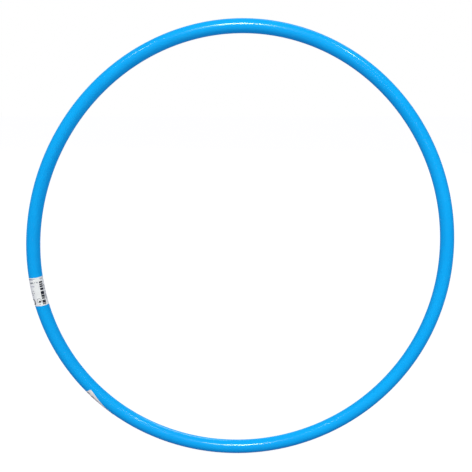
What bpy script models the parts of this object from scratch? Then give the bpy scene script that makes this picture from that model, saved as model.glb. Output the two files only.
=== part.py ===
"""A plastic hoop: one round tube bent into a ring and closed on an inner plug with four staples.

Frame: metres, +Z up. The hoop hangs upright in the XZ plane with its front towards -Y, and its
origin is at the centre of its box. Each piece is first made along a straight tube, where X is the
distance from the joint (clockwise round the hoop as seen from the front), Y is towards the rear and
Z is away from the hoop's centre. It is then bent round the hoop.
"""

import math

import bmesh
import bpy
from mathutils import Matrix, Vector

# Tube
HOOP_OUTER_DIAMETER = 0.600  # of the hoop before its own weight pulls it out of round
TUBE_DIAMETER = 0.0192
TUBE_WALL = 0.0015
BUTT_GAP = 0.0004  # between the two ends of the tube, at the joint

# How far the soft hoop is out of round, as shares of its radius, and towards which side. Sides are
# angles in the front view, anticlockwise from +X.
OVAL_SHARE = 0.0195
OVAL_SIDE = math.radians(78.4)
TRILOBE_SHARE = 0.0056
TRILOBE_SIDE = math.radians(91.3)

# Joint
JOINT_SIDE = math.radians(192.15)
FIT_GAP = 0.0003  # between any two pieces that touch
PLUG_WALL = 0.0020
PLUG_CHAMFER = 0.0010
PLUG_END_MARGIN = 0.008  # how far the plug runs on past its staples

# Staples
STAPLE_CROWN = 0.010
STAPLE_GRIP = 0.0020  # how far a leg reaches past the plug's wall
STAPLE_WIDTH = 0.0013
STAPLE_THICKNESS = 0.0006
STAPLE_LABEL_GAP = 0.0015  # along the tube, from the wrap label to a staple
STAPLE_TURN = math.radians(24)  # round the tube, from its rearmost line to a staple

# Paper labels: length is along the tube, reach is round it, and tilt is each label's turn on the
# tube's surface, clockwise as seen from outside with the hoop's centre below
LABEL_THICKNESS = 0.00015
WRAP_LABEL_LENGTH = 0.041
WRAP_LABEL_REAR_GAP = 0.0042  # between the label's two ends, on the rear of the tube
WRAP_LABEL_TILT = math.radians(2.1)
CORNER_LABEL_LENGTH = 0.050
CORNER_LABEL_REACH = 0.025
CORNER_LABEL_TILT = math.radians(10.4)
CORNER_SIDE = math.radians(223.8)  # where the corner label's first corner lies on the hoop
CORNER_TURN = math.radians(-4.2)  # and how far it lies outwards from the tube's front line

# Mesh fineness
TUBE_SIDES = 20
LARGEST_SAG = 0.00015  # of a straight facet under the ring's true arc
LABEL_FACET = math.radians(12)  # round the tube
ROUNDING = 0.000001  # allowed when a vertex is found by its place

TUBE_RADIUS = TUBE_DIAMETER / 2
BORE_RADIUS = TUBE_RADIUS - TUBE_WALL
PLUG_RADIUS = BORE_RADIUS - FIT_GAP
PLUG_BORE_RADIUS = PLUG_RADIUS - PLUG_WALL
RING_RADIUS = HOOP_OUTER_DIAMETER / 2 - TUBE_RADIUS
RING_LENGTH = 2 * math.pi * RING_RADIUS
RING_FACETS = math.ceil(math.pi / math.acos(1 - LARGEST_SAG / RING_RADIUS))
LABEL_SURFACE = TUBE_RADIUS + FIT_GAP

WRAP_LABEL_REACH = 2 * math.pi * LABEL_SURFACE - WRAP_LABEL_REAR_GAP
WRAP_LABEL_HALF_SPAN = (
    WRAP_LABEL_LENGTH / 2 * math.cos(WRAP_LABEL_TILT)
    + WRAP_LABEL_REACH / 2 * math.sin(WRAP_LABEL_TILT)
)
STAPLE_PLACE = WRAP_LABEL_HALF_SPAN + STAPLE_LABEL_GAP + STAPLE_CROWN / 2
PLUG_LENGTH = 2 * (STAPLE_PLACE + STAPLE_CROWN / 2 + PLUG_END_MARGIN)


def ring_radius(side):
    """Distance from the hoop's own centre to the middle of the tube, on one side."""
    oval = OVAL_SHARE * math.cos(2 * (side - OVAL_SIDE))
    trilobe = TRILOBE_SHARE * math.cos(3 * (side - TRILOBE_SIDE))
    return RING_RADIUS * (1 + oval + trilobe)


def ring_slope(side):
    """Change of ring_radius with the angle."""
    oval = -2 * OVAL_SHARE * math.sin(2 * (side - OVAL_SIDE))
    trilobe = -3 * TRILOBE_SHARE * math.sin(3 * (side - TRILOBE_SIDE))
    return RING_RADIUS * (oval + trilobe)


def ring_line(side):
    """Middle of the tube on one side of the hoop, about the hoop's own centre."""
    return ring_radius(side) * Vector((math.cos(side), 0, math.sin(side)))


def ring_middle():
    """Middle of the hoop's box, about the hoop's own centre."""
    points = [ring_line(math.tau * step / 720) for step in range(720)]
    lowest = Vector([min(point[axis] for point in points) for axis in range(3)])
    highest = Vector([max(point[axis] for point in points) for axis in range(3)])
    return (lowest + highest) / 2


RING_MIDDLE = ring_middle()


def hoop_point(along, rear, outward):
    """Place on the hoop of a point that was made along the straight tube."""
    side = JOINT_SIDE - along / RING_RADIUS
    away = Vector((math.cos(side), 0, math.sin(side)))
    onward = Vector((-math.sin(side), 0, math.cos(side)))
    outside = (ring_radius(side) * away - ring_slope(side) * onward).normalized()
    return ring_line(side) - RING_MIDDLE + outward * outside + Vector((0, rear, 0))


def bend_round_hoop(mesh):
    """Moves every vertex from the straight tube to the hoop."""
    for vertex in mesh.verts:
        vertex.co = hoop_point(*vertex.co)


def lay_on_tube(mesh, along, turn):
    """Lays a flat label on the tube, with its origin at a place along the tube and a turn round it.

    Paper neither stretches nor bends in its own plane, so it covers less of the ring's longer outer
    side, and drifts outwards as it runs on from its origin.
    """
    for vertex in mesh.verts:
        flat_x, flat_y, height = vertex.co
        aimed_turn = turn + flat_y / LABEL_SURFACE
        drift = flat_x**2 / (2 * RING_RADIUS) * math.cos(aimed_turn)
        laid_turn = aimed_turn + drift / LABEL_SURFACE
        reach = LABEL_SURFACE + height
        vertex.co.x = along + flat_x / (1 + LABEL_SURFACE / RING_RADIUS * math.sin(aimed_turn))
        vertex.co.y = -reach * math.cos(laid_turn)
        vertex.co.z = reach * math.sin(laid_turn)


def add_wall(mesh, radius, middle, length):
    """Adds one open round wall along X, facing away from its axis."""
    bmesh.ops.create_cone(
        mesh,
        cap_ends=False,
        segments=TUBE_SIDES,
        radius1=radius,
        radius2=radius,
        depth=length,
        matrix=Matrix.Translation((middle, 0, 0)) @ Matrix.Rotation(math.pi / 2, 4, "Y"),
    )


def make_pipe(outer_radius, bore_radius, middle, length):
    """A straight pipe along X, in steps as long as the ring's facets."""
    mesh = bmesh.new()
    add_wall(mesh, bore_radius, middle, length)
    bmesh.ops.reverse_faces(mesh, faces=mesh.faces)
    add_wall(mesh, outer_radius, middle, length)
    rims = [edge for edge in mesh.edges if edge.is_boundary]
    for end in (-1, 1):
        rim = [edge for edge in rims if end * (edge.verts[0].co.x - middle) > 0]
        bmesh.ops.bridge_loops(mesh, edges=rim)
    long_edges = [edge for edge in mesh.edges if edge.calc_length() > length / 2]
    steps = max(2, round(length * RING_FACETS / RING_LENGTH))
    bmesh.ops.subdivide_edges(mesh, edges=long_edges, cuts=steps - 1, use_grid_fill=True)
    return mesh


def make_tube():
    """The hoop's tube, from one side of the joint right round to the other."""
    mesh = make_pipe(TUBE_RADIUS, BORE_RADIUS, RING_LENGTH / 2, RING_LENGTH - BUTT_GAP)
    bend_round_hoop(mesh)
    return mesh


def make_plug():
    """The sleeve inside the joint, chamfered at both ends to enter the tube."""
    mesh = make_pipe(PLUG_RADIUS, PLUG_BORE_RADIUS, 0, PLUG_LENGTH)
    outer_ends = {
        vertex
        for vertex in mesh.verts
        if abs(vertex.co.x) > PLUG_LENGTH / 2 - ROUNDING
        and vertex.co.yz.length > PLUG_RADIUS - ROUNDING
    }
    end_rims = [edge for edge in mesh.edges if outer_ends.issuperset(edge.verts)]
    bmesh.ops.bevel(
        mesh,
        geom=end_rims,
        offset=PLUG_CHAMFER,
        segments=1,
        profile=0.5,
        affect="EDGES",
    )
    bend_round_hoop(mesh)
    return mesh


def make_staple(middle, turn):
    """One wire staple, its crown along the tube and its points inside the plug's bore."""
    crown_height = TUBE_RADIUS + FIT_GAP
    top = crown_height + STAPLE_THICKNESS
    tip = PLUG_BORE_RADIUS - STAPLE_GRIP
    point_height = tip + STAPLE_THICKNESS
    outer = STAPLE_CROWN / 2
    inner = outer - STAPLE_THICKNESS
    half_outline = [
        (outer, top),
        (outer, point_height),
        (inner, tip),
        (inner, crown_height),
    ]
    outline = half_outline + [(-along, height) for along, height in reversed(half_outline)]
    mesh = bmesh.new()
    corners = [
        mesh.verts.new((middle + along, -STAPLE_WIDTH / 2, height))
        for along, height in outline
    ]
    side_face = mesh.faces.new(corners)
    extruded = bmesh.ops.extrude_face_region(mesh, geom=[side_face])["geom"]
    moved = [item for item in extruded if isinstance(item, bmesh.types.BMVert)]
    bmesh.ops.translate(mesh, verts=moved, vec=(0, STAPLE_WIDTH, 0))
    bmesh.ops.recalc_face_normals(mesh, faces=mesh.faces)
    bmesh.ops.rotate(
        mesh, verts=mesh.verts, matrix=Matrix.Rotation(math.pi / 2 - turn, 3, "X")
    )
    bend_round_hoop(mesh)
    return mesh


def make_leg_slots(middle, turn):
    """Cutters for the two slots that one staple's legs pass through, clear of the legs."""
    mesh = bmesh.new()
    lowest = PLUG_BORE_RADIUS - PLUG_WALL
    highest = TUBE_RADIUS + TUBE_WALL
    size = Matrix.Diagonal(
        (
            STAPLE_THICKNESS + 2 * FIT_GAP,
            STAPLE_WIDTH + 2 * FIT_GAP,
            highest - lowest,
            1,
        )
    )
    for end in (-1, 1):
        leg_place = middle + end * (STAPLE_CROWN - STAPLE_THICKNESS) / 2
        place = Matrix.Translation((leg_place, 0, (lowest + highest) / 2))
        bmesh.ops.create_cube(mesh, size=1, matrix=place @ size)
    bmesh.ops.rotate(
        mesh, verts=mesh.verts, matrix=Matrix.Rotation(math.pi / 2 - turn, 3, "X")
    )
    bend_round_hoop(mesh)
    return mesh


def make_label(length, reach, tilt, anchor, along, turn):
    """A rectangular paper label, with one point of its flat sheet laid at a place on the tube."""
    mesh = bmesh.new()
    steps_along = max(2, 2 * round(length * RING_FACETS / RING_LENGTH))
    steps_round = math.ceil(reach / (LABEL_SURFACE * LABEL_FACET))
    bmesh.ops.create_grid(
        mesh,
        x_segments=steps_along,
        y_segments=steps_round,
        size=0.5,
        matrix=Matrix.Diagonal((length, reach, 1, 1)),
    )
    extruded = bmesh.ops.extrude_face_region(mesh, geom=mesh.faces[:])["geom"]
    moved = [item for item in extruded if isinstance(item, bmesh.types.BMVert)]
    bmesh.ops.translate(mesh, verts=moved, vec=(0, 0, LABEL_THICKNESS))
    bmesh.ops.recalc_face_normals(mesh, faces=mesh.faces)
    bmesh.ops.translate(mesh, verts=mesh.verts, vec=(-anchor[0], -anchor[1], 0))
    bmesh.ops.rotate(mesh, verts=mesh.verts, matrix=Matrix.Rotation(-tilt, 3, "Z"))
    lay_on_tube(mesh, along, turn)
    bend_round_hoop(mesh)
    return mesh


def make_wrap_label():
    """The label round the joint, laid from its middle."""
    return make_label(WRAP_LABEL_LENGTH, WRAP_LABEL_REACH, WRAP_LABEL_TILT, (0, 0), 0, 0)


def make_corner_label():
    """The second label, laid from its first corner, from which it runs outwards to the rear."""
    return make_label(
        CORNER_LABEL_LENGTH,
        CORNER_LABEL_REACH,
        CORNER_LABEL_TILT,
        (CORNER_LABEL_LENGTH / 2, -CORNER_LABEL_REACH / 2),
        (JOINT_SIDE - CORNER_SIDE) * RING_RADIUS,
        CORNER_TURN,
    )


def make_material(name, colour, roughness, metallic=0.0):
    """A Principled material with one colour."""
    material = bpy.data.materials.new(name)
    material.use_nodes = True
    shader = material.node_tree.nodes["Principled BSDF"]
    shader.inputs["Base Color"].default_value = (*colour, 1)
    shader.inputs["Roughness"].default_value = roughness
    shader.inputs["Metallic"].default_value = metallic
    return material


def add_piece(name, mesh, material, parent):
    """Turns a finished bmesh into a named object, shaded smooth where it is round."""
    data = bpy.data.meshes.new(name)
    mesh.to_mesh(data)
    mesh.free()
    data.materials.append(material)
    data.shade_smooth()
    data.set_sharp_from_angle(angle=math.radians(30))
    piece = bpy.data.objects.new(name, data)
    bpy.context.scene.collection.objects.link(piece)
    piece.parent = parent
    return piece


def cut_slots(piece, cutter):
    """Cuts one staple's slots through a piece."""
    cut = piece.modifiers.new(cutter.name, "BOOLEAN")
    cut.operation = "DIFFERENCE"
    cut.solver = "EXACT"
    cut.object = cutter


def build():
    """Clears the scene and makes every piece of the hoop."""
    for old in list(bpy.data.objects):
        bpy.data.objects.remove(old, do_unlink=True)

    blue_plastic = make_material("blue_plastic", (0.006, 0.30, 0.87), 0.28)
    pale_plastic = make_material("pale_plastic", (0.62, 0.62, 0.60), 0.5)
    steel = make_material("staple_wire", (0.56, 0.57, 0.58), 0.35, metallic=1.0)
    paper = make_material("label_paper", (0.83, 0.83, 0.81), 0.6)

    hoop = bpy.data.objects.new("hoop", None)
    bpy.context.scene.collection.objects.link(hoop)

    tube = add_piece("hoop_tube", make_tube(), blue_plastic, hoop)
    plug = add_piece("joint_plug", make_plug(), pale_plastic, hoop)

    for end_name, end in (("upper", 1), ("lower", -1)):
        for row_name, row in (("outer", -1), ("inner", 1)):
            name = f"staple_{end_name}_{row_name}"
            middle = end * STAPLE_PLACE
            turn = math.pi + row * STAPLE_TURN
            add_piece(name, make_staple(middle, turn), steel, hoop)
            cutter = add_piece(f"{name}_slots", make_leg_slots(middle, turn), steel, hoop)
            cutter.hide_render = True
            cutter.display_type = "WIRE"
            cut_slots(tube, cutter)
            cut_slots(plug, cutter)

    add_piece("wrap_label", make_wrap_label(), paper, hoop)
    add_piece("corner_label", make_corner_label(), paper, hoop)


build()
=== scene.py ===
"""Looks of a plastic hoop: tube, joint plug, staples and stickers, with floor, lamps and camera.

Frame: metres, +Z up. The hoop hangs upright in the XZ plane with its front towards -Y. Each piece
is first made along a straight tube, where X is the distance from the joint (clockwise round the
hoop as seen from the front), Y is towards the rear and Z is away from the hoop's centre. It is then
bent round the hoop. Every point keeps its straight place in millimetres as the attribute
"straight", and a sticker's points also keep their flat place as "sheet", so that grain, wear and
print follow the surface.
"""

import logging
import math
from dataclasses import dataclass
from enum import Enum
from functools import cached_property, reduce

import bmesh
import bpy
from mathutils import Matrix, Vector, noise


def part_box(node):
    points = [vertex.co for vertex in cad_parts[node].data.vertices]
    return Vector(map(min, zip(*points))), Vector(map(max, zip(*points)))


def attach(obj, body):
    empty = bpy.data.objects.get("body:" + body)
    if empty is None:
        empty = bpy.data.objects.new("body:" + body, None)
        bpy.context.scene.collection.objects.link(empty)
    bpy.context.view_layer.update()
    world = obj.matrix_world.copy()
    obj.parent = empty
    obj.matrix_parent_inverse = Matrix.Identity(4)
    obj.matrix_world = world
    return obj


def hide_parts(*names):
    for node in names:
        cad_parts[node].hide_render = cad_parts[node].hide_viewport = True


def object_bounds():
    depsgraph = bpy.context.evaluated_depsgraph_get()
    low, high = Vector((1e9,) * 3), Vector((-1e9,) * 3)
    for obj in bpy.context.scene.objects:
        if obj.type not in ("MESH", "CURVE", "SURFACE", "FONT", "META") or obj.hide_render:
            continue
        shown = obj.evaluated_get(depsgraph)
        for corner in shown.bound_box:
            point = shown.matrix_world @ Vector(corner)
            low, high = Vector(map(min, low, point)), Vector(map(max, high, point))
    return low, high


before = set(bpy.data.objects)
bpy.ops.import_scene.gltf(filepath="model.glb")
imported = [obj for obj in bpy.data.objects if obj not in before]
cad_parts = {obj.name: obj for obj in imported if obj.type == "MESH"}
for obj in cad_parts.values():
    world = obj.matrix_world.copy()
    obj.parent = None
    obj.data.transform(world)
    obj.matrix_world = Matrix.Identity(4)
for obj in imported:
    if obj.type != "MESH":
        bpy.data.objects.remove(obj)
cad_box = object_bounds()

log = logging.getLogger("hoop")

MILLIMETRES = 1000.0
STRAIGHT = "straight"
SHEET = "sheet"
BODY = "root"
SHARP_ANGLE = math.radians(40)
OUTLINE_STEPS = 720  # points that the hoop's box is measured from
FLOOR_GAP = 0.0002

Mesh = bmesh.types.BMesh
Socket = bpy.types.NodeSocket
Feed = Socket | float | int | tuple[float, ...]
Inputs = dict[str | int, Feed]
Colour = tuple[float, float, float]
Prints = list[tuple[Socket, Colour]]


class Slot(Enum):
    """The record's material slots."""

    TUBE = "blue_plastic"
    PLUG = "plug_plastic"
    WIRE = "staple_steel"
    STICKER = "label_paper"


class End(Enum):
    """The two ends of the tube that meet at the joint, by the direction each one lies in."""

    UPPER = 1
    LOWER = -1


class Rounded(Enum):
    """What a rounding works on."""

    EDGES = "EDGES"
    CORNERS = "VERTICES"


class Row(Enum):
    """The two rows of staples on the rear of the tube, by the direction of their turn."""

    OUTER = -1
    INNER = 1


def smooth_step(low: float, high: float, value: float) -> float:
    """Eases from 0 to 1 while a value passes from low to high, which may lie below low."""
    share = min(1.0, max(0.0, (value - low) / (high - low)))
    return share * share * (3 - 2 * share)


def round_off(mesh: Mesh, parts: list, offset: float, segments: int, kind: Rounded) -> None:
    """Rounds edges or corners of a mesh off, starting at the offset from each."""
    shape = {"offset": offset, "segments": segments, "profile": 0.5}
    bmesh.ops.bevel(mesh, geom=parts, affect=kind.value, material=-1, **shape)


def add_sheet(mesh: Mesh, half_size: float, matrix: Matrix) -> None:
    """Adds one square face, placed and stretched by a matrix."""
    bmesh.ops.create_grid(mesh, x_segments=1, y_segments=1, size=half_size, matrix=matrix)


def only(kind: type, made: list) -> list:
    """Picks the vertices or the faces out of what an operator made."""
    return [item for item in made if isinstance(item, kind)]


def to_data(name: str, mesh: Mesh) -> bpy.types.Mesh:
    """Turns a mesh under construction into mesh data.

    Args:
        name: The data's name.
        mesh: The mesh, which is freed.

    Returns:
        The mesh data.
    """
    data = bpy.data.meshes.new(name)
    mesh.to_mesh(data)
    mesh.free()
    return data


def stand(name: str, data: bpy.types.ID) -> bpy.types.Object:
    """Stands a new object in the scene.

    Args:
        name: The object's name.
        data: Its mesh, lamp or camera.

    Returns:
        The object.
    """
    made = bpy.data.objects.new(name, data)
    bpy.context.scene.collection.objects.link(made)
    return made


@dataclass(frozen=True)
class Ring:
    """The middle line of the tube: a circle that its weight pulls a little oval and three-lobed.

    Sides are angles in the front view, anticlockwise from +X.
    """

    tube_radius: float
    radius: float
    oval_share: float = 0.0195
    oval_side: float = math.radians(78.4)
    trilobe_share: float = 0.0056
    trilobe_side: float = math.radians(91.3)
    joint_side: float = math.radians(192.15)

    @classmethod
    def in_box(cls, lowest: Vector, highest: Vector) -> "Ring":
        """Finds the ring whose tube fills a box.

        Args:
            lowest: The tube's lowest corner.
            highest: The tube's highest corner.

        Returns:
            The ring with the box's tube thickness and width.
        """
        size = highest - lowest
        tube_radius = size.y / 2
        unit_lowest, unit_highest = cls(tube_radius, 1.0).corners
        unit_width = unit_highest.x - unit_lowest.x
        return cls(tube_radius, (size.x - 2 * tube_radius) / unit_width)

    def radius_at(self, side: float) -> float:
        """Finds how far the middle of the tube lies from the hoop's own centre.

        Args:
            side: The side that it is asked for.

        Returns:
            The distance.
        """
        oval = self.oval_share * math.cos(2 * (side - self.oval_side))
        trilobe = self.trilobe_share * math.cos(3 * (side - self.trilobe_side))
        return self.radius * (1 + oval + trilobe)

    def slope_at(self, side: float) -> float:
        """Finds how fast that distance changes with the angle.

        Args:
            side: The side that it is asked for.

        Returns:
            The change of radius_at per radian.
        """
        oval = -2 * self.oval_share * math.sin(2 * (side - self.oval_side))
        trilobe = -3 * self.trilobe_share * math.sin(3 * (side - self.trilobe_side))
        return self.radius * (oval + trilobe)

    def line(self, side: float) -> Vector:
        """Middle of the tube on one side, about the hoop's own centre."""
        return self.radius_at(side) * Vector((math.cos(side), 0, math.sin(side)))

    @cached_property
    def corners(self) -> tuple[Vector, Vector]:
        """Lowest and highest corner of the middle line, about the hoop's own centre."""
        points = [self.line(math.tau * step / OUTLINE_STEPS) for step in range(OUTLINE_STEPS)]
        lowest = Vector([min(point[axis] for point in points) for axis in range(3)])
        highest = Vector([max(point[axis] for point in points) for axis in range(3)])
        return lowest, highest

    @cached_property
    def middle(self) -> Vector:
        """Middle of the hoop's box, about the hoop's own centre."""
        lowest, highest = self.corners
        return (lowest + highest) / 2

    @property
    def length(self) -> float:
        """Length of the straight tube."""
        return math.tau * self.radius

    def place(self, straight: Vector) -> Vector:
        """Finds where a point of the straight tube lies on the hoop.

        Args:
            straight: Distance from the joint, distance to the rear, and distance outwards.

        Returns:
            The point on the hoop, in the frame.
        """
        side = self.joint_side - straight.x / self.radius
        away = Vector((math.cos(side), 0, math.sin(side)))
        onward = Vector((-math.sin(side), 0, math.cos(side)))
        outside = (self.radius_at(side) * away - self.slope_at(side) * onward).normalized()
        rearward = Vector((0, straight.y, 0))
        return self.line(side) - self.middle + straight.z * outside + rearward

    def bend(self, mesh: Mesh) -> None:
        """Bends a straight piece round the hoop, and keeps each point's straight place.

        Args:
            mesh: The piece, along the straight tube.
        """
        kept = mesh.verts.layers.float_vector.new(STRAIGHT)
        for vertex in mesh.verts:
            vertex[kept] = vertex.co * MILLIMETRES
            vertex.co = self.place(vertex.co)


class Wiring:
    """Adds linked nodes to the tree of one material or node group."""

    def __init__(self, tree: bpy.types.NodeTree) -> None:
        """Starts on the tree that the nodes go into."""
        self.tree = tree

    def feed(self, socket: Socket, value: Feed) -> None:
        """Links a socket to another one's value, or sets it to a plain value.

        Args:
            socket: The input socket.
            value: A socket to read from, or a number, vector or colour.
        """
        if isinstance(value, bpy.types.NodeSocket):
            self.tree.links.new(value, socket)
        elif socket.type == "RGBA":
            socket.default_value = (*value, 1.0)
        else:
            socket.default_value = value

    def node(self, kind: str, inputs: Inputs | None = None, **own: object) -> bpy.types.Node:
        """Adds one node.

        Args:
            kind: The node's type.
            inputs: What each input reads, by its name or place.
            **own: The node's own properties.

        Returns:
            The new node.
        """
        made = self.tree.nodes.new(kind)
        for name, value in own.items():
            setattr(made, name, value)
        for key, value in (inputs or {}).items():
            self.feed(made.inputs[key], value)
        return made

    def output(self, name: str, kind: str, inputs: Inputs | None = None, **own: object) -> Socket:
        """Adds one node as node() does, and gives its output of that name."""
        return self.node(kind, inputs, **own).outputs[name]

    def effect(self, group: bpy.types.NodeTree, **inputs: Feed) -> bpy.types.Node:
        """Places a shared effect, with what each of its inputs reads."""
        return self.node("ShaderNodeGroup", inputs, node_tree=group)

    def maths(self, operation: str, *values: Feed, clamp: bool = False) -> Socket:
        """Works out one sum, kept between 0 and 1 if it is clamped."""
        own = {"operation": operation, "use_clamp": clamp}
        return self.output("Value", "ShaderNodeMath", dict(enumerate(values)), **own)

    def total(self, *values: Feed) -> Socket:
        """Adds values up, kept between 0 and 1."""
        return reduce(lambda before, value: self.maths("ADD", before, value, clamp=True), values)

    def product(self, *values: Feed) -> Socket:
        """Multiplies values together."""
        return reduce(lambda before, value: self.maths("MULTIPLY", before, value), values)

    def counted(self, value: Feed, start: Feed, unit: Feed) -> Socket:
        """Counts how many units a value lies past a start."""
        return self.maths("DIVIDE", self.maths("SUBTRACT", value, start), unit)

    def above(self, value: Feed, limit: Feed) -> Socket:
        """1 where a value lies above a limit, and 0 elsewhere."""
        return self.maths("GREATER_THAN", value, limit)

    def below(self, value: Feed, limit: Feed) -> Socket:
        """1 where a value lies below a limit, and 0 elsewhere."""
        return self.maths("LESS_THAN", value, limit)

    def between(self, value: Feed, low: Feed, high: Feed) -> Socket:
        """1 where a value lies between two others, and 0 elsewhere."""
        return self.product(self.above(value, low), self.below(value, high))

    def parts(self, vector: Socket) -> tuple[Socket, Socket, Socket]:
        """Splits a vector into its three parts."""
        made = self.node("ShaderNodeSeparateXYZ", {"Vector": vector})
        return made.outputs["X"], made.outputs["Y"], made.outputs["Z"]

    def joined(self, first: Feed, second: Feed) -> Socket:
        """Makes a flat vector of two values."""
        return self.output("Vector", "ShaderNodeCombineXYZ", {"X": first, "Y": second})

    def attribute(self, name: str) -> Socket:
        """Reads a vector that the piece's points keep."""
        return self.output("Vector", "ShaderNodeAttribute", attribute_name=name)

    def stretched(self, vector: Socket, scale: tuple[float, float, float]) -> Socket:
        """Scales a vector."""
        return self.output("Vector", "ShaderNodeMapping", {"Vector": vector, "Scale": scale})

    def cloud(
        self, vector: Feed, scale: Feed, detail: float = 2.0, distortion: float = 0.0
    ) -> Socket:
        """Reads a soft noise about one half, with its scale in waves to a millimetre."""
        inputs = {"Vector": vector, "Scale": scale, "Detail": detail, "Distortion": distortion}
        return self.output("Fac", "ShaderNodeTexNoise", inputs)

    def eased(
        self, value: Feed, low: float, high: float, start: float = 0.0, stop: float = 1.0
    ) -> Socket:
        """Eases from one value to another while a third one passes through a range.

        Args:
            value: The value that passes.
            low: Where easing starts.
            high: Where easing stops.
            start: The result before it.
            stop: The result after it.

        Returns:
            The eased value.
        """
        span = {"From Min": low, "From Max": high, "To Min": start, "To Max": stop}
        inputs = {"Value": value, **span}
        own = {"interpolation_type": "SMOOTHSTEP"}
        return self.output("Result", "ShaderNodeMapRange", inputs, **own)

    def varied(self, value: Feed, middle: float, less: float, more: float) -> Socket:
        """Varies round a middle by up to so much less or more, with a noise."""
        return self.eased(value, 0.3, 0.7, middle - less, middle + more)

    def blend(self, share: Feed, under: Feed, over: Feed) -> Socket:
        """Lays one colour over another, by the share of the upper one that shows."""
        colours = {6: under, 7: over}
        return self.node("ShaderNodeMix", {0: share, **colours}, data_type="RGBA").outputs[2]

    def bumped(self, height: Socket, distance: float, **under: Socket) -> Socket:
        """Turns a height into a normal, where 1 is the distance in metres, over another Normal."""
        inputs = {"Height": height, "Distance": distance, "Strength": 1.0, **under}
        return self.output("Normal", "ShaderNodeBump", inputs)


class GroupPlan(Wiring):
    """A node group under construction, with its named inputs and outputs."""

    def __init__(self, name: str, inputs: dict[str, float | None], *outputs: str) -> None:
        """Opens a new group.

        Args:
            name: The group's name.
            inputs: Each input's name and its first value, or None for a vector.
            *outputs: The names of the outputs, all plain values.
        """
        super().__init__(bpy.data.node_groups.new(name, "ShaderNodeTree"))
        sockets = self.tree.interface
        for title, value in inputs.items():
            kind = "NodeSocketVector" if value is None else "NodeSocketFloat"
            socket = sockets.new_socket(title, in_out="INPUT", socket_type=kind)
            if value is not None:
                socket.default_value = value
        for title in outputs:
            sockets.new_socket(title, in_out="OUTPUT", socket_type="NodeSocketFloat")
        self.source = self.node("NodeGroupInput")
        self.result = self.node("NodeGroupOutput")

    def read(self, name: str) -> Socket:
        """One of the group's inputs."""
        return self.source.outputs[name]

    def give(self, name: str, value: Socket) -> None:
        """Sets one of the group's outputs."""
        self.feed(self.result.inputs[name], value)


class Coat(Wiring):
    """A material under construction, with its Principled shader."""

    def __init__(self, name: str) -> None:
        """Opens a new material.

        Args:
            name: The material's name.
        """
        self.material = bpy.data.materials.new(name)
        self.material.use_nodes = True
        super().__init__(self.material.node_tree)

    def look(self, name: str, value: Feed) -> None:
        """Links or sets one of the shader's own inputs."""
        self.feed(self.tree.nodes["Principled BSDF"].inputs[name], value)


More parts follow.
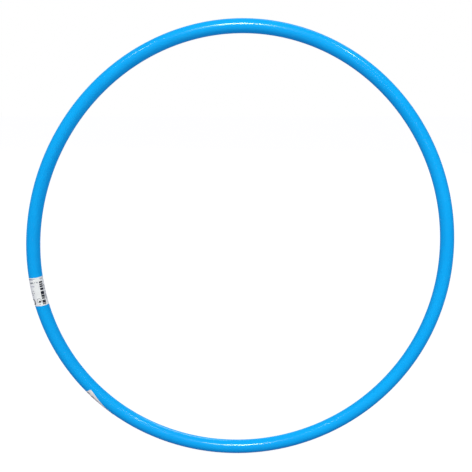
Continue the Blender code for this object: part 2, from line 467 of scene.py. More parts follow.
class Effects:
    """The effects that finishes share, each built as a node group when it is first used."""

    @cached_property
    def scuffs(self) -> bpy.types.NodeTree:
        """Light rubbed streaks in patches. Place is in millimetres, with X along the streaks."""
        plan = GroupPlan("light_scuffs", {"Place": None, "Amount": 0.5}, "Mask", "Height")
        place = plan.read("Place")
        streaks = plan.cloud(plan.stretched(place, (0.06, 1.0, 1.0)), 2.2, 3.0)
        cross_streaks = plan.cloud(plan.stretched(place, (1.6, 0.2, 0.2)), 1.1, 2.0)
        patches = plan.cloud(place, 0.035, 2.0)
        lines = plan.eased(streaks, 0.60, 0.70)
        cross_lines = plan.eased(cross_streaks, 0.66, 0.74)
        rubbed = plan.eased(patches, 0.50, 0.68)
        mask = plan.product(plan.total(lines, cross_lines), rubbed, plan.read("Amount"))
        plan.give("Mask", mask)
        plan.give("Height", plan.maths("SUBTRACT", 1.0, mask))
        return plan.tree

    @cached_property
    def dust(self) -> bpy.types.NodeTree:
        """Sparse fine specks. Place is in millimetres."""
        plan = GroupPlan("dust_specks", {"Place": None, "Amount": 0.5}, "Mask")
        place = plan.read("Place")
        cells = {"Vector": place, "Scale": 0.42, "Randomness": 1.0}
        from_speck = plan.output("Distance", "ShaderNodeTexVoronoi", cells)
        specks = plan.eased(from_speck, 0.10, 0.04)
        seldom = plan.eased(plan.cloud(place, 0.11), 0.52, 0.62)
        plan.give("Mask", plan.product(specks, seldom, plan.read("Amount")))
        return plan.tree

    @cached_property
    def grain(self) -> bpy.types.NodeTree:
        """A fine even grain with broader clouds in it. Place is in millimetres."""
        plan = GroupPlan("fine_grain", {"Place": None, "Fineness": 3.0}, "Height", "Cloud")
        place = plan.read("Place")
        plan.give("Height", plan.cloud(place, plan.read("Fineness"), 3.0))
        plan.give("Cloud", plan.cloud(place, 0.16, 3.0))
        return plan.tree

    @cached_property
    def marks(self) -> bpy.types.NodeTree:
        """A row of small printed marks that stand for text and spell nothing.

        Sheet is the flat place in millimetres, with X to the right and Y up.
        """
        span = {"Left": 0.0, "Right": 10.0, "Base": 0.0}
        size = {"Height": 1.6, "Pitch": 1.1, "Seed": 1.0}
        plan = GroupPlan("row_of_marks", {"Sheet": None, **span, **size}, "Ink")
        left, base = plan.read("Left"), plan.read("Base")
        across, up, _ = plan.parts(plan.read("Sheet"))
        cell = plan.counted(across, left, plan.read("Pitch"))
        index = plan.maths("FLOOR", cell)
        inside = plan.maths("FRACT", cell)
        level = plan.counted(up, base, plan.read("Height"))
        in_row = plan.between(across, left, plan.read("Right"))
        row = plan.product(in_row, plan.between(level, 0.0, 1.0))
        seeded = {"Vector": plan.joined(index, plan.read("Seed"))}
        chances = plan.node("ShaderNodeTexWhiteNoise", seeded, noise_dimensions="2D")
        first, second, third = plan.parts(chances.outputs["Color"])

        stem = plan.between(inside, 0.04, 0.34)
        other_stem = plan.product(plan.between(inside, 0.54, 0.82), plan.above(first, 0.4))
        top_bar = plan.product(plan.between(level, 0.80, 1.0), plan.above(second, 0.45))
        middle_bar = plan.product(plan.between(level, 0.40, 0.58), plan.above(third, 0.5))
        base_bar = plan.product(plan.between(level, 0.0, 0.18), plan.below(third, 0.5))
        across_mark = plan.between(inside, 0.04, 0.82)
        bars = plan.product(plan.total(top_bar, middle_bar, base_bar), across_mark)
        strokes = plan.total(stem, other_stem, bars)

        over_low_mark = plan.product(plan.below(second, 0.45), plan.above(level, 0.68))
        kept = plan.maths("SUBTRACT", 1.0, over_low_mark)
        not_space = plan.above(chances.outputs["Value"], 0.16)
        plan.give("Ink", plan.product(strokes, kept, not_space, row))
        return plan.tree


@dataclass(frozen=True)
class TubePlastic:
    """Glossy through-dyed plastic, with faint lines from the die and light rubbing outside."""

    effects: Effects
    colour: Colour = (0.0025, 0.350, 0.67)
    deep_colour: Colour = (0.0020, 0.330, 0.65)
    rubbed_colour: Colour = (0.10, 0.46, 0.74)
    dust_colour: Colour = (0.55, 0.60, 0.62)
    roughness: float = 0.17
    rubbed_roughness: float = 0.40
    rim_softness: float = 0.75

    def material(self) -> bpy.types.Material:
        """Builds the material.

        Returns:
            The tube's material.
        """
        coat = Coat("tube_plastic")
        place = coat.attribute(STRAIGHT)
        _, _, outward = coat.parts(place)

        swirl = coat.cloud(coat.stretched(place, (0.25, 1.0, 1.0)), 0.05, 3.0, 0.6)
        dyed = coat.blend(coat.eased(swirl, 0.35, 0.65), self.deep_colour, self.colour)

        outer_side = coat.eased(outward, 2.0, 9.0, 0.25, 1.0)
        scuffs = coat.effect(self.effects.scuffs, Place=place, Amount=outer_side)
        dust = coat.effect(self.effects.dust, Place=place, Amount=0.5)
        rubbed = coat.blend(coat.product(scuffs.outputs["Mask"], 0.35), dyed, self.rubbed_colour)
        dusty = coat.blend(coat.product(dust.outputs["Mask"], 0.5), rubbed, self.dust_colour)
        coat.look("Base Color", dusty)

        die_lines = coat.cloud(coat.stretched(place, (0.004, 1.0, 1.0)), 1.7, 4.0)
        sheen = coat.varied(die_lines, self.roughness, 0.02, 0.03)
        worn = coat.product(scuffs.outputs["Mask"], self.rubbed_roughness - self.roughness)
        facing_away = coat.output("Facing", "ShaderNodeLayerWeight", {"Blend": 0.5})
        at_rim = coat.eased(facing_away, 0.35, 0.75, 0.0, self.rim_softness)
        dull = coat.maths("ADD", worn, at_rim)
        coat.look("Roughness", coat.maths("ADD", sheen, dull))

        ripple = coat.cloud(coat.stretched(place, (0.5, 1.0, 1.0)), 0.22, 1.0)
        rippled = coat.bumped(ripple, 0.00006)
        lined = coat.bumped(die_lines, 0.000012, Normal=rippled)
        coat.look("Normal", coat.bumped(scuffs.outputs["Height"], 0.00001, Normal=lined))
        coat.look("IOR", 1.5)
        return coat.material


@dataclass(frozen=True)
class PlugPlastic:
    """Pale moulded plastic with a fine matt grain."""

    effects: Effects
    colour: Colour = (0.62, 0.62, 0.60)
    grubby_colour: Colour = (0.50, 0.49, 0.46)
    roughness: float = 0.5

    def material(self) -> bpy.types.Material:
        """Builds the material.

        Returns:
            The plug's material.
        """
        coat = Coat("plug_plastic")
        place = coat.attribute(STRAIGHT)
        grain = coat.effect(self.effects.grain, Place=place, Fineness=4.0)
        scuffs = coat.effect(self.effects.scuffs, Place=place, Amount=0.8)
        tone = coat.eased(grain.outputs["Cloud"], 0.4, 0.7)
        coat.look("Base Color", coat.blend(tone, self.colour, self.grubby_colour))
        height = grain.outputs["Height"]
        coat.look("Roughness", coat.varied(height, self.roughness, 0.06, 0.06))
        grained = coat.bumped(height, 0.00002)
        coat.look("Normal", coat.bumped(scuffs.outputs["Height"], 0.00002, Normal=grained))
        return coat.material


@dataclass(frozen=True)
class WireSteel:
    """Zinc-coated drawn wire with fine lines along it and a little tarnish."""

    effects: Effects
    colour: Colour = (0.66, 0.67, 0.68)
    tarnish_colour: Colour = (0.34, 0.31, 0.27)
    roughness: float = 0.36
    bare_metal: float = 0.55

    def material(self) -> bpy.types.Material:
        """Builds the material.

        Returns:
            The staples' material.
        """
        coat = Coat("staple_wire")
        place = coat.attribute(STRAIGHT)
        drawn = coat.cloud(coat.stretched(place, (0.1, 1.0, 1.0)), 9.0, 3.0)
        grain = coat.effect(self.effects.grain, Place=place, Fineness=6.0)
        tarnish = coat.eased(grain.outputs["Cloud"], 0.50, 0.72)
        toned = coat.blend(coat.product(tarnish, 0.6), self.colour, self.tarnish_colour)
        coat.look("Base Color", toned)
        sheen = coat.varied(drawn, self.roughness, 0.08, 0.10)
        coat.look("Roughness", coat.maths("ADD", sheen, coat.product(tarnish, 0.2)))
        coat.look("Normal", coat.bumped(drawn, 0.000012))
        coat.look("Metallic", self.bare_metal)
        return coat.material


@dataclass(frozen=True)
class PrintedRow:
    """One row of marks on a sticker, in millimetres, and the share of its ink that shows."""

    left: float
    right: float
    base: float
    height: float
    pitch: float
    share: float = 1.0


@dataclass(frozen=True)
class Band:
    """A stretch of the bar block, in millimetres up the sticker, and its inked share."""

    base: float
    top: float
    share: float


@dataclass(frozen=True)
class Press:
    """Prints on one sticker's sheet, which is in millimetres with X to the right and Y up."""

    coat: Coat
    sheet: Socket
    marks: bpy.types.NodeTree

    def row(self, row: PrintedRow, seed: float, sideways: bool = False) -> Socket:
        """Prints one row of marks.

        Args:
            row: The row's place and size.
            seed: Number that sets which marks it has.
            sideways: Whether the row runs up the sheet.

        Returns:
            The row's ink mask.
        """
        sheet = self.sheet
        if sideways:
            across, up, _ = self.coat.parts(sheet)
            sheet = self.coat.joined(up, self.coat.product(across, -1.0))
        span = {"Left": row.left, "Right": row.right, "Base": row.base}
        size = {"Height": row.height, "Pitch": row.pitch, "Seed": seed}
        made = self.coat.effect(self.marks, Sheet=sheet, **span, **size)
        return self.coat.product(made.outputs["Ink"], row.share)

    def rows(self, rows: list[PrintedRow], first_seed: float) -> list[Socket]:
        """Prints rows of marks, with seeds that count on from the first one."""
        return [self.row(row, first_seed + number) for number, row in enumerate(rows)]

    def ring(self, right: float, up: float, radius: float, line: float, share: float) -> Socket:
        """Prints a plain ring.

        Args:
            right: How far right its middle is.
            up: How far up its middle is.
            radius: The radius of the middle of its line.
            line: The width of its line.
            share: How strongly it is inked.

        Returns:
            The ring's ink mask.
        """
        across, upward, _ = self.coat.parts(self.sheet)
        places = {0: self.coat.joined(across, upward), 1: (right, up, 0.0)}
        away = self.coat.output("Value", "ShaderNodeVectorMath", places, operation="DISTANCE")
        on_line = self.coat.between(away, radius - line / 2, radius + line / 2)
        return self.coat.product(on_line, share)


@dataclass(frozen=True)
class StickerPaper:
    """White coated paper with small print. Subclasses lay out what is printed."""

    effects: Effects
    name: str
    paper: Colour
    shaded_paper: Colour
    ink: Colour = (0.016, 0.018, 0.021)
    dirt: Colour = (0.30, 0.28, 0.25)
    roughness: float = 0.46

    def printed(self, press: Press) -> Prints:
        """Lays out the print, as ink masks with their colours."""
        raise NotImplementedError

    def material(self) -> bpy.types.Material:
        """Builds the material.

        Returns:
            The sticker's material.
        """
        coat = Coat(self.name)
        sheet = coat.attribute(SHEET)
        grain = coat.effect(self.effects.grain, Place=sheet, Fineness=2.6)
        tone = coat.eased(grain.outputs["Cloud"], 0.35, 0.65)
        colour = coat.blend(tone, self.paper, self.shaded_paper)
        prints = self.printed(Press(coat, sheet, self.effects.marks))
        for mask, ink in prints:
            colour = coat.blend(mask, colour, ink)
        dust = coat.effect(self.effects.dust, Place=sheet, Amount=0.4)
        grubby = coat.product(dust.outputs["Mask"], 0.4)
        coat.look("Base Color", coat.blend(grubby, colour, self.dirt))
        height = grain.outputs["Height"]
        coated = coat.varied(height, self.roughness, 0.05, 0.07)
        glossier_ink = coat.product(coat.total(*[mask for mask, _ in prints]), 0.12)
        coat.look("Roughness", coat.maths("SUBTRACT", coated, glossier_ink))
        coat.look("Normal", coat.bumped(height, 0.00002))
        return coat.material


@dataclass(frozen=True)
class WrapPaper(StickerPaper):
    """The wrap sticker's paper, with a block of bars, rows of marks and plain ring signs."""

    violet: Colour = (0.075, 0.060, 0.160)
    grey_green: Colour = (0.030, 0.055, 0.055)
    grey: Colour = (0.045, 0.045, 0.045)
    brown: Colour = (0.230, 0.090, 0.035)
    first_seed: float = 3.0
    figures: PrintedRow = PrintedRow(-12.9, 9.4, -13.5, 1.8, 1.85)
    figures_seed: float = 41.0
    ring_signs: tuple[tuple[float, ...], ...] = (
        (1.2, -12.7, 3.0, 0.60, 0.80),
        (1.9, -14.1, 0.70, 1.40, 1.00),
        (-8.9, -14.6, 3.8, 1.45, 1.00),
    )
    bar_left: float = 5.3
    bar_right: float = 10.3
    bar_module: float = 0.33
    bands: tuple[Band, ...] = (
        Band(-18.8, -16.0, 0.82),
        Band(-16.0, -12.6, 0.95),
        Band(-11.2, -8.5, 0.92),
        Band(-8.1, -5.3, 0.80),
        Band(-4.7, 0.1, 0.96),
        Band(1.6, 4.9, 1.00),
        Band(5.9, 8.2, 0.86),
        Band(8.8, 10.9, 0.84),
        Band(11.9, 14.3, 0.97),
    )

    def bars(self, press: Press) -> Socket:
        """Prints the block of bars.

        Args:
            press: What prints on the sheet.

        Returns:
            The block's ink mask.
        """
        coat = press.coat
        across, up, _ = coat.parts(press.sheet)
        index = {"W": coat.maths("FLOOR", coat.maths("DIVIDE", up, self.bar_module))}
        chance = coat.output("Value", "ShaderNodeTexWhiteNoise", index, noise_dimensions="1D")
        bands = [
            coat.product(coat.between(up, band.base, band.top), coat.below(chance, band.share))
            for band in self.bands
        ]
        return coat.product(coat.total(*bands), coat.between(across, self.bar_left, self.bar_right))

    def printed(self, press: Press) -> Prints:
        """Lays out the bars, the rows of marks and the ring signs.

        Args:
            press: What prints on the sheet.

        Returns:
            Each ink mask with its colour.
        """
        rows = (
            (self.violet, -12.8, -2.8, 17.3, 2.0, 1.15),
            (self.grey_green, -2.2, 1.2, 17.9, 1.6, 1.10, 0.7),
            (self.grey_green, 4.8, 11.8, 17.2, 1.9, 1.30),
            (self.grey_green, -10.5, -2.4, 12.1, 2.2, 1.25),
            (self.grey_green, -1.2, 4.6, 12.6, 1.9, 1.10, 0.7),
            (self.violet, -8.5, -1.8, 7.2, 1.9, 0.90, 0.7),
            (self.grey, -7.6, -3.8, 0.8, 1.6, 1.00),
            (self.grey, -8.4, -3.0, -2.2, 1.5, 1.20),
            (self.grey, -8.4, -5.2, -5.3, 1.8, 0.90),
            (self.grey, -7.8, -6.0, -8.4, 1.0, 0.90, 0.5),
            (self.brown, -0.8, 2.7, -18.6, 1.2, 0.85, 0.8),
            (self.grey, 17.0, 27.0, 10.0, 1.5, 0.95, 0.9),
            (self.grey, 17.0, 26.0, 7.2, 1.5, 0.95, 0.9),
            (self.grey, 17.0, 26.6, 4.4, 1.5, 0.95, 0.9),
            (self.grey, 17.0, 24.0, 1.6, 1.5, 0.95, 0.9),
        )
        masks = press.rows([PrintedRow(*numbers) for _, *numbers in rows], self.first_seed)
        inks = [(mask, colour) for mask, (colour, *_) in zip(masks, rows)]
        inks.append((self.bars(press), self.ink))
        figures = press.row(self.figures, self.figures_seed, sideways=True)
        inks.append((figures, self.grey))
        return inks + [(press.ring(*numbers), self.ink) for numbers in self.ring_signs]


@dataclass(frozen=True)
class CornerPaper(StickerPaper):
    """The second sticker's paper, with bold words and a few small rows of marks."""

    words: tuple[PrintedRow, ...] = (
        PrintedRow(1.9, 5.4, -8.8, 4.0, 1.70),
        PrintedRow(9.4, 15.6, -8.8, 4.2, 1.55),
        PrintedRow(17.2, 22.0, -8.8, 4.2, 1.55),
        PrintedRow(24.0, 27.4, -8.8, 4.0, 1.70),
    )
    row_left: float = 2.0
    row_count: int = 4
    first_row: float = 11.0
    row_gap: float = 2.6
    longest_row: float = 40.0
    shortening: float = 0.09
    row_height: float = 1.5
    row_pitch: float = 1.1
    row_share: float = 0.9
    first_seed: float = 70.0

    def printed(self, press: Press) -> Prints:
        """Lays out bold words, inked twice, and small rows that run on from the first corner.

        Args:
            press: What prints on the sheet, which starts at that corner.

        Returns:
            Each ink mask with its colour.
        """
        rows = [*self.words, *self.words]
        for number in range(self.row_count):
            length = self.longest_row * (1.0 - self.shortening * (number * 5 % 4))
            base = -self.first_row - number * self.row_gap - self.row_height
            size = (self.row_height, self.row_pitch, self.row_share)
            rows.append(PrintedRow(self.row_left, self.row_left + length, base, *size))
        return [(mask, self.ink) for mask in press.rows(rows, self.first_seed)]


def finish(name: str, mesh: Mesh, material: bpy.types.Material, solid: str) -> None:
    """Turns a mesh into a dressed object that rides on the hoop's body.

    Args:
        name: The piece's name.
        mesh: Its mesh, in place, which is freed.
        material: What it is made of.
        solid: The CAD solid that it stands for.
    """
    data = to_data(name, mesh)
    data.materials.append(material)
    data.shade_smooth()
    data.set_sharp_from_angle(angle=SHARP_ANGLE)
    piece = stand(name, data)
    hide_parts(solid)
    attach(piece, BODY)
    log.info("%s: %d faces, for %s", name, len(data.polygons), solid)


@dataclass(frozen=True)
class Pipe:
    """A straight round pipe along X, with its outer ends rounded."""

    outer_radius: float
    bore_radius: float
    middle: float
    length: float
    sides: int
    outer_steps: int
    bore_steps: int
    rounding: float
    rounding_segments: int = 3
    tolerance: float = 0.000001

    def add_wall(self, mesh: Mesh, radius: float) -> None:
        """Adds one open round wall, facing away from its axis.

        Args:
            mesh: The mesh that it goes into.
            radius: The wall's radius.
        """
        lying = Matrix.Translation((self.middle, 0, 0)) @ Matrix.Rotation(math.pi / 2, 4, "Y")
        size = {"radius1": radius, "radius2": radius, "depth": self.length}
        bmesh.ops.create_cone(mesh, cap_ends=False, segments=self.sides, matrix=lying, **size)

    def is_outer(self, edge: bmesh.types.BMEdge) -> bool:
        """Whether an edge lies on the outer wall."""
        between_walls = (self.outer_radius + self.bore_radius) / 2
        return all(vertex.co.yz.length > between_walls for vertex in edge.verts)

    def build(self) -> Mesh:
        """Builds the pipe.

        Returns:
            The closed mesh of the pipe.
        """
        mesh = bmesh.new()
        self.add_wall(mesh, self.bore_radius)
        bmesh.ops.reverse_faces(mesh, faces=mesh.faces)
        self.add_wall(mesh, self.outer_radius)
        rims = [edge for edge in mesh.edges if edge.is_boundary]
        for end in (-1, 1):
            rim = [edge for edge in rims if end * (edge.verts[0].co.x - self.middle) > 0]
            bmesh.ops.bridge_loops(mesh, edges=rim)
        end_place = self.length / 2 - self.tolerance
        outer_rims = [
            edge
            for edge in mesh.edges
            if self.is_outer(edge)
            and all(abs(vertex.co.x - self.middle) > end_place for vertex in edge.verts)
            and edge.calc_length() < self.length / 2
        ]
        round_off(mesh, outer_rims, self.rounding, self.rounding_segments, Rounded.EDGES)
        long_edges = [edge for edge in mesh.edges if edge.calc_length() > self.length / 2]
        for outer, steps in ((True, self.outer_steps), (False, self.bore_steps)):
            chosen = [edge for edge in long_edges if edge.is_valid and self.is_outer(edge) == outer]
            bmesh.ops.subdivide_edges(mesh, edges=chosen, cuts=steps - 1, use_grid_fill=True)
        return mesh


@dataclass(frozen=True)
class Staples:
    """The four wire staples of the joint, in two rows on the rear of the tube."""

    ring: Ring
    material: bpy.types.Material
    place: float
    turn: float = math.radians(24)
    crown: float = 0.010
    width: float = 0.0013
    thickness: float = 0.0006
    depth: float = 0.0064
    sunk: float = 0.00012
    bend_radius: float = 0.0005
    bend_steps: int = 5
    rounding: float = 0.00014
    dent_depth: float = 0.00024
    dent_reach: float = 0.0016
    hole_depth: float = 0.00045
    hole_reach: float = 0.0011
    merge_distance: float = 0.000002
    corner_angle: float = math.radians(60)
    rounding_segments: int = 2

    def spots(self) -> list[tuple[str, float, float]]:
        """Lists the staples.

        Returns:
            Each staple's name, its distance from the joint, and its turn round the tube.
        """
        return [
            (
                f"{end.name}_{row.name}".lower(),
                end.value * self.place,
                math.pi + row.value * self.turn,
            )
            for end in End
            for row in Row
        ]

    def press(self, along: float, turn: float) -> float:
        """How deep the staples press the tube in.

        Args:
            along: Distance from the joint, either way round.
            turn: Turn round the tube from its front, outwards.

        Returns:
            The depth of the dent, in metres.
        """
        dent = 0.0
        for _, middle, staple_turn in self.spots():
            swing = math.remainder(turn - staple_turn, math.tau) * self.ring.tube_radius
            past_end = max(0.0, abs(along - middle) - self.crown / 2)
            from_crown = math.hypot(past_end, max(0.0, abs(swing) - self.width / 2))
            dent += self.dent_depth * smooth_step(self.dent_reach, 0.0, from_crown)
            from_leg = math.hypot(abs(along - middle) - (self.crown - self.thickness) / 2, swing)
            dent += self.hole_depth * smooth_step(self.hole_reach, 0.0, from_leg)
        return dent

    def wire(self) -> Mesh:
        """Bends one staple, with its crown along X and its legs towards the tube's middle.

        Returns:
            The staple's mesh, before it is turned round the tube and moved along it.
        """
        mesh = bmesh.new()
        top = self.ring.tube_radius - self.sunk + self.thickness
        half_span = (self.crown - self.thickness) / 2
        bend = self.bend_radius + self.thickness / 2
        leg = self.depth - bend
        half_crown = half_span - bend
        height = top - self.thickness / 2 - bend
        section = Matrix.Diagonal((self.thickness, self.width, 1, 1))
        tip = Matrix.Translation((-half_span, 0, top - self.thickness / 2 - self.depth))
        add_sheet(mesh, 0.5, tip @ section)
        cap = mesh.faces[:]
        for move, centre in (
            ((0, 0, leg), (-half_span + bend, 0, height)),
            ((2 * half_crown, 0, 0), (half_crown, 0, height)),
            ((0, 0, -leg), None),
        ):
            drawn = bmesh.ops.extrude_face_region(mesh, geom=cap)["geom"]
            bmesh.ops.translate(mesh, verts=only(bmesh.types.BMVert, drawn), vec=move)
            if centre is not None:
                cap = self.turn_corner(mesh, only(bmesh.types.BMFace, drawn), centre)
        bmesh.ops.remove_doubles(mesh, verts=mesh.verts, dist=self.merge_distance)
        bmesh.ops.recalc_face_normals(mesh, faces=mesh.faces)
        corners = [edge for edge in mesh.edges if edge.calc_face_angle(0.0) > self.corner_angle]
        round_off(mesh, corners, self.rounding, self.rounding_segments, Rounded.EDGES)
        return mesh

    def turn_corner(self, mesh: Mesh, cap: list, centre: tuple[float, float, float]) -> list:
        """Bends the wire through a right angle.

        Args:
            mesh: The staple so far.
            cap: The faces at the wire's end.
            centre: The point that it is bent round.

        Returns:
            The faces at its new end.
        """
        turn = {"axis": (0, 1, 0), "angle": math.pi / 2, "steps": self.bend_steps}
        made = bmesh.ops.spin(mesh, geom=cap, cent=centre, **turn)["geom_last"]
        return only(bmesh.types.BMFace, made)

    def build(self) -> None:
        """Builds and dresses all four staples."""
        for name, middle, turn in self.spots():
            mesh = self.wire()
            spun = Matrix.Rotation(math.pi / 2 - turn, 3, "X")
            bmesh.ops.rotate(mesh, verts=mesh.verts, matrix=spun)
            bmesh.ops.translate(mesh, verts=mesh.verts, vec=(middle, 0, 0))
            self.ring.bend(mesh)
            finish(f"wire_{name}", mesh, self.material, f"staple_{name}")


@dataclass(frozen=True)
class Tube:
    """The hoop's tube, open at the joint where its two ends meet."""

    ring: Ring
    staples: Staples
    material: bpy.types.Material
    wall: float = 0.0015
    butt_gap: float = 0.0004
    rounding: float = 0.0003
    sides: int = 72
    outer_steps: int = 400
    bore_steps: int = 120
    joint_reach: float = 0.040
    joint_cuts: int = 6

    @cached_property
    def between_walls(self) -> float:
        """Radius half way between the bore and the outer wall."""
        return self.ring.tube_radius - self.wall / 2

    def refine_joint(self, mesh: Mesh) -> None:
        """Divides the outer wall more finely near the joint, where the staples dent it.

        Args:
            mesh: The straight tube.
        """
        lengthwise = [
            edge
            for edge in mesh.edges
            if abs(edge.verts[0].co.x - edge.verts[1].co.x) > edge.calc_length() / 2
            and all(vertex.co.yz.length > self.between_walls for vertex in edge.verts)
            and all(abs(self.from_joint(vertex.co.x)) < self.joint_reach for vertex in edge.verts)
            and edge.calc_length() > self.rounding * 4
        ]
        bmesh.ops.subdivide_edges(mesh, edges=lengthwise, cuts=self.joint_cuts, use_grid_fill=True)

    def from_joint(self, along: float) -> float:
        """Distance from the joint, the short way round, clockwise positive."""
        return math.remainder(along, self.ring.length)

    def dent(self, mesh: Mesh) -> None:
        """Presses the outer wall in under the staples.

        Args:
            mesh: The straight tube.
        """
        for vertex in mesh.verts:
            along = self.from_joint(vertex.co.x)
            reach = vertex.co.yz.length
            if reach < self.between_walls or abs(along) > self.joint_reach:
                continue
            pressed = self.staples.press(along, math.atan2(vertex.co.z, -vertex.co.y))
            vertex.co.yz = vertex.co.yz * ((reach - pressed) / reach)

    def build(self) -> None:
        """Builds and dresses the tube."""
        pipe = Pipe(
            outer_radius=self.ring.tube_radius,
            bore_radius=self.ring.tube_radius - self.wall,
            middle=self.ring.length / 2,
            length=self.ring.length - self.butt_gap,
            sides=self.sides,
            outer_steps=self.outer_steps,
            bore_steps=self.bore_steps,
            rounding=self.rounding,
        )
        mesh = pipe.build()
        self.refine_joint(mesh)
        self.dent(mesh)
        self.ring.bend(mesh)
        finish("blue_tube", mesh, self.material, "hoop_tube")


@dataclass(frozen=True)
class Plug:
    """The sleeve inside the joint."""

    ring: Ring
    material: bpy.types.Material
    half_length: float
    radius: float = 0.0078
    wall: float = 0.0020
    rounding: float = 0.0010
    sides: int = 48
    steps: int = 30

    def build(self) -> None:
        """Builds and dresses the plug."""
        pipe = Pipe(
            outer_radius=self.radius,
            bore_radius=self.radius - self.wall,
            middle=0.0,
            length=2 * self.half_length,
            sides=self.sides,
            outer_steps=self.steps,
            bore_steps=self.steps,
            rounding=self.rounding,
        )
        mesh = pipe.build()
        self.ring.bend(mesh)
        finish("inner_plug", mesh, self.material, "joint_plug")


@dataclass(frozen=True)
class Sticker:
    """A die-cut paper sticker on the tube.

    It is cut flat, with X along the tube and Y round it from the front outwards. Its anchor is the
    point of the flat sheet that is laid first, and its place is where that point lies on the tube.
    """

    ring: Ring
    material: bpy.types.Material
    name: str
    solid: str
    length: float
    reach: float
    tilt: float
    anchor: Vector
    place: Vector
    sheet_turn: float
    thickness: float = 0.00010
    glue: float = 0.00003
    corner_radius: float = 0.0015
    corner_segments: int = 4
    cell: float = 0.0010
    snap: float = 0.0000005
    lift: float = 0.00035
    least_lift: float = 0.35
    lift_reach: float = 0.0045
    unevenness: float = 140.0
    uneven_place: tuple[float, float, float] = (0.0, 0.0, 3.7)
    edge_lift: float = 0.00006
    edge_reach: float = 0.0012
    wrinkle: float = 0.00022
    wrinkles: tuple[float, ...] = ()
    wrinkle_width: float = 0.0011
    ripple: float = 0.00001
    ripples: float = 320.0

    @property
    def surface(self) -> float:
        """Radius at which the paper lies on its glue."""
        return self.ring.tube_radius + self.glue

    def blank(self) -> Mesh:
        """Cuts the flat sheet with rounded corners and divides it into small cells.

        Returns:
            The flat sheet, centred on the origin.
        """
        mesh = bmesh.new()
        add_sheet(mesh, 0.5, Matrix.Diagonal((self.length, self.reach, 1, 1)))
        round_off(mesh, mesh.verts[:], self.corner_radius, self.corner_segments, Rounded.CORNERS)
        for axis, size in ((Vector((1, 0, 0)), self.length), (Vector((0, 1, 0)), self.reach)):
            count = round(size / self.cell)
            for step in range(1, count):
                bmesh.ops.bisect_plane(
                    mesh,
                    geom=[*mesh.verts, *mesh.edges, *mesh.faces],
                    dist=self.snap,
                    plane_co=axis * (size * (step / count - 0.5)),
                    plane_no=axis,
                )
        return mesh

    def height(self, flat: Vector, turn: float) -> float:
        """How far the sheet stands off the tube at one point.

        Args:
            flat: The point on the flat sheet.
            turn: Its turn round the tube from the front, outwards.

        Returns:
            The height in metres, above the glue.
        """
        to_end = self.length / 2 - abs(flat.x)
        to_edge = self.reach / 2 - abs(flat.y)
        corner = smooth_step(self.lift_reach, 0.0, math.hypot(to_end, to_edge))
        lifted = self.lift * corner
        uneven_at = flat * self.unevenness + Vector(self.uneven_place)
        uneven = 0.5 + 0.5 * noise.noise(uneven_at)
        edge = smooth_step(self.edge_reach, 0.0, min(to_end, to_edge)) * self.edge_lift * uneven
        inner_side = max(0.0, -math.sin(turn)) ** 2
        from_ridges = [(flat.x - place) / self.wrinkle_width for place in self.wrinkles]
        ridges = sum(math.exp(-(away**2)) for away in from_ridges)
        ripple = self.ripple * noise.noise(flat * self.ripples)
        wrinkled = self.wrinkle * inner_side * ridges
        return lifted * (self.least_lift + uneven) + edge + wrinkled + ripple

    def lay(self, flat: Vector) -> tuple[float, float]:
        """Finds where a point of the flat sheet comes to lie on the tube.

        Paper neither stretches nor bends in its own plane, so it covers less of the hoop's longer
        outer side, and drifts outwards as it runs on from its anchor.

        Args:
            flat: The point on the flat sheet.

        Returns:
            Its distance from the joint, and its turn round the tube from the front, outwards.
        """
        moved = Matrix.Rotation(-self.tilt, 3, "Z") @ (flat - self.anchor)
        turn = (self.place.y + moved.y) / self.surface
        along = self.place.x + moved.x / (1 + self.surface / self.ring.radius * math.sin(turn))
        drift = moved.x**2 / (2 * self.ring.radius) * math.cos(turn)
        return along, turn + drift / self.surface

    def build(self) -> None:
        """Builds and dresses the sticker."""
        mesh = self.blank()
        made = bmesh.ops.extrude_face_region(mesh, geom=mesh.faces[:])["geom"]
        upper = only(bmesh.types.BMVert, made)
        bmesh.ops.translate(mesh, verts=upper, vec=(0, 0, self.thickness))
        bmesh.ops.recalc_face_normals(mesh, faces=mesh.faces)

        sheet = mesh.verts.layers.float_vector.new(SHEET)
        to_sheet = Matrix.Rotation(self.sheet_turn, 3, "Z")
        for vertex in mesh.verts:
            flat = Vector((vertex.co.x, vertex.co.y, 0.0))
            vertex[sheet] = (to_sheet @ (flat - self.anchor)) * MILLIMETRES
            along, turn = self.lay(flat)
            reach = self.surface + vertex.co.z + self.height(flat, turn)
            vertex.co = Vector((along, -reach * math.cos(turn), reach * math.sin(turn)))
        self.ring.bend(mesh)
        finish(self.name, mesh, self.material, self.solid)


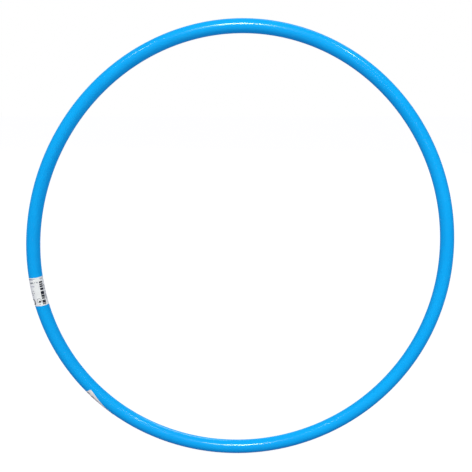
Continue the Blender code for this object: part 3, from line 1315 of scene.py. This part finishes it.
@dataclass(frozen=True)
class Stickers:
    """The two paper stickers: one wrapped round the joint, and one that shows a corner."""

    ring: Ring
    effects: Effects
    fit_gap: float = 0.0003
    wrap_length: float = 0.041
    wrap_rear_gap: float = 0.0042
    wrap_tilt: float = math.radians(2.1)
    corner_length: float = 0.050
    corner_reach: float = 0.025
    corner_tilt: float = math.radians(10.4)
    corner_side: float = math.radians(223.8)
    corner_turn: float = math.radians(-4.2)
    paper: Colour = (0.790, 0.810, 0.665)
    shaded_paper: Colour = (0.755, 0.775, 0.635)
    warm_paper: Colour = (0.915, 0.890, 0.690)
    warm_shaded_paper: Colour = (0.875, 0.845, 0.650)

    @property
    def surface(self) -> float:
        """Radius of the CAD stickers' inner face."""
        return self.ring.tube_radius + self.fit_gap

    @property
    def wrap_reach(self) -> float:
        """How far the wrap sticker reaches round the tube."""
        return math.tau * self.surface - self.wrap_rear_gap

    @property
    def wrap_half_span(self) -> float:
        """How far the tilted wrap sticker reaches from the joint."""
        lengthwise = self.wrap_length / 2 * math.cos(self.wrap_tilt)
        crosswise = self.wrap_reach / 2 * math.sin(self.wrap_tilt)
        return lengthwise + crosswise

    def build_wrap(self) -> None:
        """Builds the sticker round the joint. Its print has up along the tube and right inwards."""
        paper = WrapPaper(self.effects, "wrap_paper", self.paper, self.shaded_paper)
        sticker = Sticker(
            ring=self.ring,
            material=paper.material(),
            name="wrap_sticker",
            solid="wrap_label",
            length=self.wrap_length,
            reach=self.wrap_reach,
            tilt=self.wrap_tilt,
            anchor=Vector((0, 0, 0)),
            place=Vector((0, 0, 0)),
            sheet_turn=math.pi / 2,
            wrinkles=(-0.0115, 0.0015, 0.0130),
        )
        sticker.build()

    def build_corner(self) -> None:
        """Builds the second sticker, laid from its first corner, from which it runs to the rear."""
        paper = CornerPaper(self.effects, "corner_paper", self.warm_paper, self.warm_shaded_paper)
        corner_along = (self.ring.joint_side - self.corner_side) * self.ring.radius
        corner_round = self.corner_turn * self.surface
        sticker = Sticker(
            ring=self.ring,
            material=paper.material(),
            name="corner_sticker",
            solid="corner_label",
            length=self.corner_length,
            reach=self.corner_reach,
            tilt=self.corner_tilt,
            anchor=Vector((self.corner_length / 2, -self.corner_reach / 2, 0)),
            place=Vector((corner_along, corner_round, 0)),
            sheet_turn=math.pi,
        )
        sticker.build()

    def build(self) -> None:
        """Builds and dresses both stickers."""
        self.build_wrap()
        self.build_corner()


@dataclass(frozen=True)
class Hoop:
    """The whole hoop."""

    ring: Ring
    effects: Effects
    staple_label_gap: float = 0.0015
    plug_end_margin: float = 0.008

    def build(self) -> None:
        """Builds every piece."""
        stickers = Stickers(self.ring, self.effects)
        wire = WireSteel(self.effects).material()
        crown = Staples.crown
        place = stickers.wrap_half_span + self.staple_label_gap + crown / 2
        staples = Staples(self.ring, wire, place)
        Tube(self.ring, staples, TubePlastic(self.effects).material()).build()
        half_plug = place + crown / 2 + self.plug_end_margin
        Plug(self.ring, PlugPlastic(self.effects).material(), half_plug).build()
        staples.build()
        stickers.build()


@dataclass(frozen=True)
class Lamp:
    """One round studio lamp that faces the hoop.

    Its angles are in degrees. Azimuth 0 is the front, and 90 the right.
    """

    name: str
    azimuth: float
    elevation: float
    distance: float
    radius: float
    strength: float
    glossy: bool = False

    def place(self, centre: Vector) -> Vector:
        """Finds where the lamp hangs.

        Args:
            centre: The hoop's centre.

        Returns:
            The lamp's place.
        """
        azimuth, elevation = math.radians(self.azimuth), math.radians(self.elevation)
        level = self.distance * math.cos(elevation)
        away = Vector((math.sin(azimuth) * level, -math.cos(azimuth) * level, 0))
        return centre + away + Vector((0, 0, self.distance * math.sin(elevation)))

    def build(self, centre: Vector) -> None:
        """Hangs the lamp. It gives either the even light or only the glints on shiny pieces.

        Args:
            centre: The hoop's centre. A strength of 1 makes white paper white there.
        """
        data = bpy.data.lights.new(self.name, "AREA")
        data.shape = "DISK"
        data.size = 2 * self.radius
        data.energy = self.strength * (math.pi * self.distance) ** 2
        lamp = stand(self.name, data)
        lamp.location = self.place(centre)
        lamp.rotation_euler = (lamp.location - centre).to_track_quat("Z", "Y").to_euler()
        lamp.visible_camera = False
        lamp.visible_diffuse = not self.glossy
        lamp.visible_glossy = self.glossy


@dataclass(frozen=True)
class Studio:
    """The pale floor, the soft lights and the camera."""

    ring: Ring
    floor_place: float
    camera_distance: float = 1.2
    camera_elevation: float = math.radians(12.05)
    lens: float = 66.37
    sensor_width: float = 36.0
    shift: tuple[float, float] = (-0.00845, 0.0253)
    white: Colour = (1.0, 1.0, 1.0)
    ambient: Colour = (0.36, 0.36, 0.60)
    mirrored: Colour = (0.015, 0.03, 0.05)
    floor_colour: Colour = (0.060, 0.060, 0.060)
    floor_cloud_colour: Colour = (0.055, 0.055, 0.055)
    floor_roughness: float = 0.9
    floor_glow: float = 0.97
    floor_half_size: float = 8.0
    lamps: tuple[Lamp, ...] = (
        Lamp("left_softbox", -42, 43, 4.2, 0.60, 0.64),
        Lamp("right_softbox", 44, 42, 4.2, 0.60, 0.355),
        Lamp("near_fill", 20, 10, 0.9, 0.20, 0.34),
        Lamp("rear_softbox", 170, 24, 4.0, 0.80, 0.60),
        Lamp("front_glint", -1.0, 39.4, 2.2, 0.19, 0.46, True),
        Lamp("left_glint", -42, 44, 2.6, 0.08, 0.032, True),
        Lamp("right_glint", 44, 43, 2.6, 0.08, 0.080, True),
        Lamp("rear_glint", 160, 42, 4.2, 0.90, 0.16, True),
    )

    @property
    def centre(self) -> Vector:
        """The hoop's own centre, in the frame."""
        return -self.ring.middle

    def build_camera(self) -> None:
        """Sets up the camera in front of the hoop and a little above it."""
        back = Vector((0, -math.cos(self.camera_elevation), math.sin(self.camera_elevation)))
        data = bpy.data.cameras.new("camera")
        data.lens = self.lens
        data.sensor_width = self.sensor_width
        data.shift_x, data.shift_y = self.shift
        camera = stand("camera", data)
        camera.location = self.centre + back * self.camera_distance
        camera.rotation_euler = (-back).to_track_quat("-Z", "Y").to_euler()
        bpy.context.scene.camera = camera

    def build_room(self) -> None:
        """Sets up the room's light: white behind the hoop, soft and slightly cool round it."""
        world = bpy.data.worlds.new("studio")
        world.use_nodes = True
        world.cycles.sampling_method = "NONE"
        bpy.context.scene.world = world
        wiring = Wiring(world.node_tree)
        wiring.tree.nodes.clear()
        path = wiring.node("ShaderNodeLightPath")
        lit = wiring.blend(path.outputs["Is Glossy Ray"], self.ambient, self.mirrored)
        seen = {"Color": wiring.blend(path.outputs["Is Camera Ray"], lit, self.white)}
        background = wiring.output("Background", "ShaderNodeBackground", seen)
        wiring.node("ShaderNodeOutputWorld", {"Surface": background})

    def build_floor(self) -> None:
        """Lays the plain pale floor under the hoop, lit from within like a light table."""
        coat = Coat("floor_sheet")
        place = coat.output("Object", "ShaderNodeTexCoord")
        tone = coat.eased(coat.cloud(place, 3.0), 0.3, 0.7)
        coat.look("Base Color", coat.blend(tone, self.floor_colour, self.floor_cloud_colour))
        coat.look("Roughness", self.floor_roughness)
        coat.look("Specular IOR Level", 0.0)
        coat.look("Emission Color", self.white)
        coat.look("Emission Strength", self.floor_glow)
        mesh = bmesh.new()
        level = Matrix.Translation((0, 0, self.floor_place))
        add_sheet(mesh, self.floor_half_size, level)
        floor = stand("floor", to_data("floor", mesh))
        floor.data.materials.append(coat.material)
        floor.visible_diffuse = False
        floor.visible_glossy = False

    def build(self) -> None:
        """Sets up the whole studio."""
        self.build_camera()
        self.build_room()
        self.build_floor()
        for lamp in self.lamps:
            lamp.build(self.centre)
        bpy.context.scene.view_settings.view_transform = "Standard"
        log.info("studio: %d lamps, camera %.2f m away", len(self.lamps), self.camera_distance)


def main() -> None:
    """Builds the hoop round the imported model, and then the studio."""
    logging.basicConfig(level=logging.INFO, format="%(message)s")
    ring = Ring.in_box(*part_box("hoop_tube"))
    radii = [radius * MILLIMETRES for radius in (ring.radius, ring.tube_radius)]
    log.info("ring radius %.2f mm, tube radius %.2f mm", *radii)
    Hoop(ring, Effects()).build()
    Studio(ring, floor_place=cad_box[0].z - FLOOR_GAP).build()


if __name__ == "__main__":
    main()
